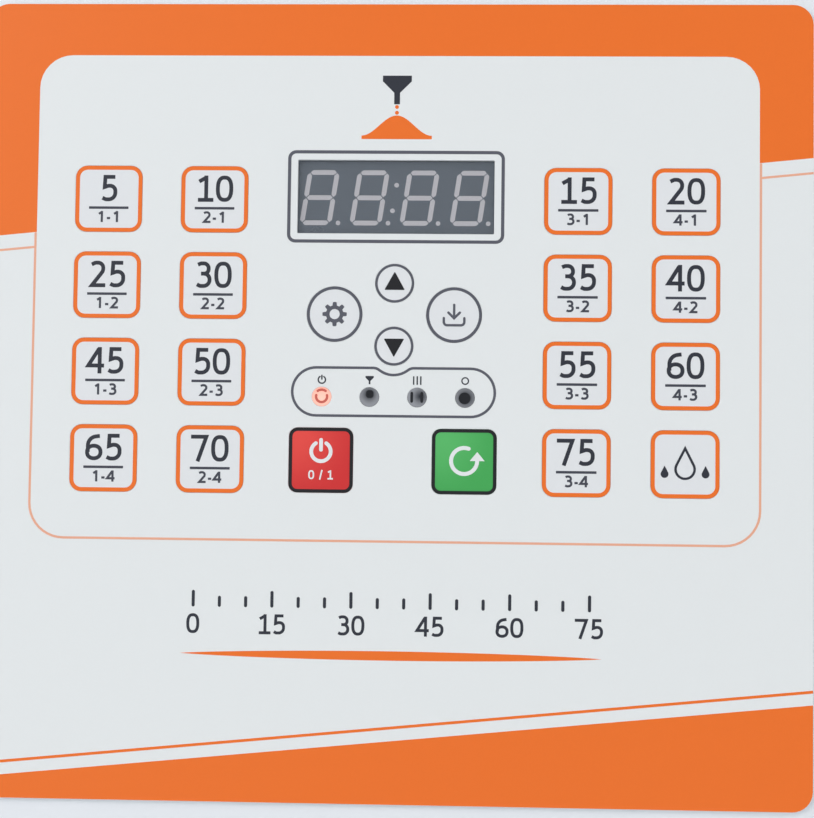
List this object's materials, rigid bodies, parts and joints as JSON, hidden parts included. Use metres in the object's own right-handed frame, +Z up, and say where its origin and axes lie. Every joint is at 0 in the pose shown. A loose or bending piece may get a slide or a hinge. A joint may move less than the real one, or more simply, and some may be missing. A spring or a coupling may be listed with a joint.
{
  "type": "powder dispenser",
  "caption": "Bench-top powder dosing machine: C-shaped sheet-metal body, hopper with hinged lid, geared auger and stirrer, spout over a drip tray, and a printed keypad with one key per dose.",
  "frame": {"origin": "on the bench, under the middle of the body's width and depth", "axes": "+Z up, the keypad and the cup bay face -Y, +X to the right as the user stands at the keypad"},
  "size_m": [0.23, 0.37, 0.5356],
  "materials": {
    "powder_coat": "fine satin powder coat, pale bluish white",
    "printed_film": "printed polycarbonate film, semi-gloss",
    "red_film": "red printed film",
    "green_film": "green printed film",
    "stainless": "brushed stainless steel",
    "zinced_steel": "zinc-plated steel",
    "cast_aluminium": "cast and satin",
    "foot_rubber": "matt moulded rubber",
    "black_plastic": "moulded, fine texture",
    "white_plastic": "moulded acetal",
    "silicone": "translucent white silicone",
    "smoked_lid": "clear smoke-tinted polycarbonate",
    "circuit_board": "green solder mask",
    "display_face": "slate grey face with pale segments"
  },
  "bodies": {
    "housing": {"foot_front_left": "foot_rubber", "foot_front_right": "foot_rubber", "foot_rear_left": "foot_rubber", "foot_rear_right": "foot_rubber", "base_plate": "powder_coat", "base_deck": "powder_coat", "left_side_panel": "powder_coat", "right_side_panel": "powder_coat", "column_front_panel": "powder_coat", "head_floor": "powder_coat", "top_deck": "powder_coat", "back_cover": "powder_coat", "fascia_plate": "powder_coat", "overlay_film": "printed_film", "display_module": "display_face", "control_board": "circuit_board", "powder_hopper": "stainless", "outlet_chute": "stainless", "nozzle": "white_plastic", "auger_bush": "white_plastic", "agitator_bush": "white_plastic", "gearbox": "cast_aluminium", "drive_motor": "zinced_steel", "motor_bracket": "zinced_steel", "level_sensor": "black_plastic", "lid_hinge_base": "stainless", "lid_hinge_pin": "stainless", "power_supply": "cast_aluminium", "power_inlet": "black_plastic"},
    "dose_5": {"dose_key_5": "printed_film"},
    "dose_10": {"dose_key_10": "printed_film"},
    "dose_15": {"dose_key_15": "printed_film"},
    "dose_20": {"dose_key_20": "printed_film"},
    "dose_25": {"dose_key_25": "printed_film"},
    "dose_30": {"dose_key_30": "printed_film"},
    "dose_35": {"dose_key_35": "printed_film"},
    "dose_40": {"dose_key_40": "printed_film"},
    "dose_45": {"dose_key_45": "printed_film"},
    "dose_50": {"dose_key_50": "printed_film"},
    "dose_55": {"dose_key_55": "printed_film"},
    "dose_60": {"dose_key_60": "printed_film"},
    "dose_65": {"dose_key_65": "printed_film"},
    "dose_70": {"dose_key_70": "printed_film"},
    "dose_75": {"dose_key_75": "printed_film"},
    "clean": {"clean_key": "printed_film"},
    "set": {"set_key": "printed_film"},
    "save": {"save_key": "printed_film"},
    "up": {"up_key": "printed_film"},
    "down": {"down_key": "printed_film"},
    "power": {"power_key": "red_film"},
    "continuous": {"continuous_key": "green_film"},
    "auger": {"auger_screw": "stainless", "auger_pinion": "white_plastic"},
    "stirrer": {"agitator": "stainless", "agitator_gear": "white_plastic"},
    "lid": {"hopper_lid": "smoked_lid", "lid_gasket": "silicone"},
    "rocker": {"switch_rocker": "black_plastic"},
    "tray": {"drip_tray": "stainless"},
    "grille": {"drip_grille": "stainless"}
  },
  "joints": [
    {"name": "dose_5_press", "type": "slide", "parent": "housing", "child": "dose_5", "axis": [0, 1, 0], "range_m": [0, 0.0004], "stiffness_N_per_m": 1500},
    {"name": "dose_10_press", "type": "slide", "parent": "housing", "child": "dose_10", "axis": [0, 1, 0], "range_m": [0, 0.0004], "stiffness_N_per_m": 1500},
    {"name": "dose_15_press", "type": "slide", "parent": "housing", "child": "dose_15", "axis": [0, 1, 0], "range_m": [0, 0.0004], "stiffness_N_per_m": 1500},
    {"name": "dose_20_press", "type": "slide", "parent": "housing", "child": "dose_20", "axis": [0, 1, 0], "range_m": [0, 0.0004], "stiffness_N_per_m": 1500},
    {"name": "dose_25_press", "type": "slide", "parent": "housing", "child": "dose_25", "axis": [0, 1, 0], "range_m": [0, 0.0004], "stiffness_N_per_m": 1500},
    {"name": "dose_30_press", "type": "slide", "parent": "housing", "child": "dose_30", "axis": [0, 1, 0], "range_m": [0, 0.0004], "stiffness_N_per_m": 1500},
    {"name": "dose_35_press", "type": "slide", "parent": "housing", "child": "dose_35", "axis": [0, 1, 0], "range_m": [0, 0.0004], "stiffness_N_per_m": 1500},
    {"name": "dose_40_press", "type": "slide", "parent": "housing", "child": "dose_40", "axis": [0, 1, 0], "range_m": [0, 0.0004], "stiffness_N_per_m": 1500},
    {"name": "dose_45_press", "type": "slide", "parent": "housing", "child": "dose_45", "axis": [0, 1, 0], "range_m": [0, 0.0004], "stiffness_N_per_m": 1500},
    {"name": "dose_50_press", "type": "slide", "parent": "housing", "child": "dose_50", "axis": [0, 1, 0], "range_m": [0, 0.0004], "stiffness_N_per_m": 1500},
    {"name": "dose_55_press", "type": "slide", "parent": "housing", "child": "dose_55", "axis": [0, 1, 0], "range_m": [0, 0.0004], "stiffness_N_per_m": 1500},
    {"name": "dose_60_press", "type": "slide", "parent": "housing", "child": "dose_60", "axis": [0, 1, 0], "range_m": [0, 0.0004], "stiffness_N_per_m": 1500},
    {"name": "dose_65_press", "type": "slide", "parent": "housing", "child": "dose_65", "axis": [0, 1, 0], "range_m": [0, 0.0004], "stiffness_N_per_m": 1500},
    {"name": "dose_70_press", "type": "slide", "parent": "housing", "child": "dose_70", "axis": [0, 1, 0], "range_m": [0, 0.0004], "stiffness_N_per_m": 1500},
    {"name": "dose_75_press", "type": "slide", "parent": "housing", "child": "dose_75", "axis": [0, 1, 0], "range_m": [0, 0.0004], "stiffness_N_per_m": 1500},
    {"name": "clean_press", "type": "slide", "parent": "housing", "child": "clean", "axis": [0, 1, 0], "range_m": [0, 0.0004], "stiffness_N_per_m": 1500},
    {"name": "set_press", "type": "slide", "parent": "housing", "child": "set", "axis": [0, 1, 0], "range_m": [0, 0.0004], "stiffness_N_per_m": 1500},
    {"name": "save_press", "type": "slide", "parent": "housing", "child": "save", "axis": [0, 1, 0], "range_m": [0, 0.0004], "stiffness_N_per_m": 1500},
    {"name": "up_press", "type": "slide", "parent": "housing", "child": "up", "axis": [0, 1, 0], "range_m": [0, 0.0004], "stiffness_N_per_m": 1500},
    {"name": "down_press", "type": "slide", "parent": "housing", "child": "down", "axis": [0, 1, 0], "range_m": [0, 0.0004], "stiffness_N_per_m": 1500},
    {"name": "power_press", "type": "slide", "parent": "housing", "child": "power", "axis": [0, 1, 0], "range_m": [0, 0.0004], "stiffness_N_per_m": 1500},
    {"name": "continuous_press", "type": "slide", "parent": "housing", "child": "continuous", "axis": [0, 1, 0], "range_m": [0, 0.0004], "stiffness_N_per_m": 1500},
    {"name": "auger_spin", "type": "hinge", "parent": "housing", "child": "auger", "pos_m": [0, 0, 0.344], "axis": [0, 1, 0], "continuous": true},
    {"name": "stirrer_spin", "type": "hinge", "parent": "housing", "child": "stirrer", "pos_m": [0, 0, 0.404], "axis": [0, 1, 0], "continuous": true},
    {"name": "lid_hinge", "type": "hinge", "parent": "housing", "child": "lid", "pos_m": [0, 0.083, 0.5296], "axis": [-1, 0, 0], "range_deg": [0, 100]},
    {"name": "rocker_tilt", "type": "hinge", "parent": "housing", "child": "rocker", "pos_m": [0, 0.1829, 0.104], "axis": [-1, 0, 0], "range_deg": [0, 18]},
    {"name": "tray_lift", "type": "slide", "parent": "housing", "child": "tray", "axis": [0, 0, 1], "range_m": [0, 0.05]},
    {"name": "grille_lift", "type": "slide", "parent": "tray", "child": "grille", "axis": [0, 0, 1], "range_m": [0, 0.04]}
  ],
  "couplings": [
    {"joint": "stirrer_spin", "follows": "auger_spin", "ratio": -0.53846}
  ]
}
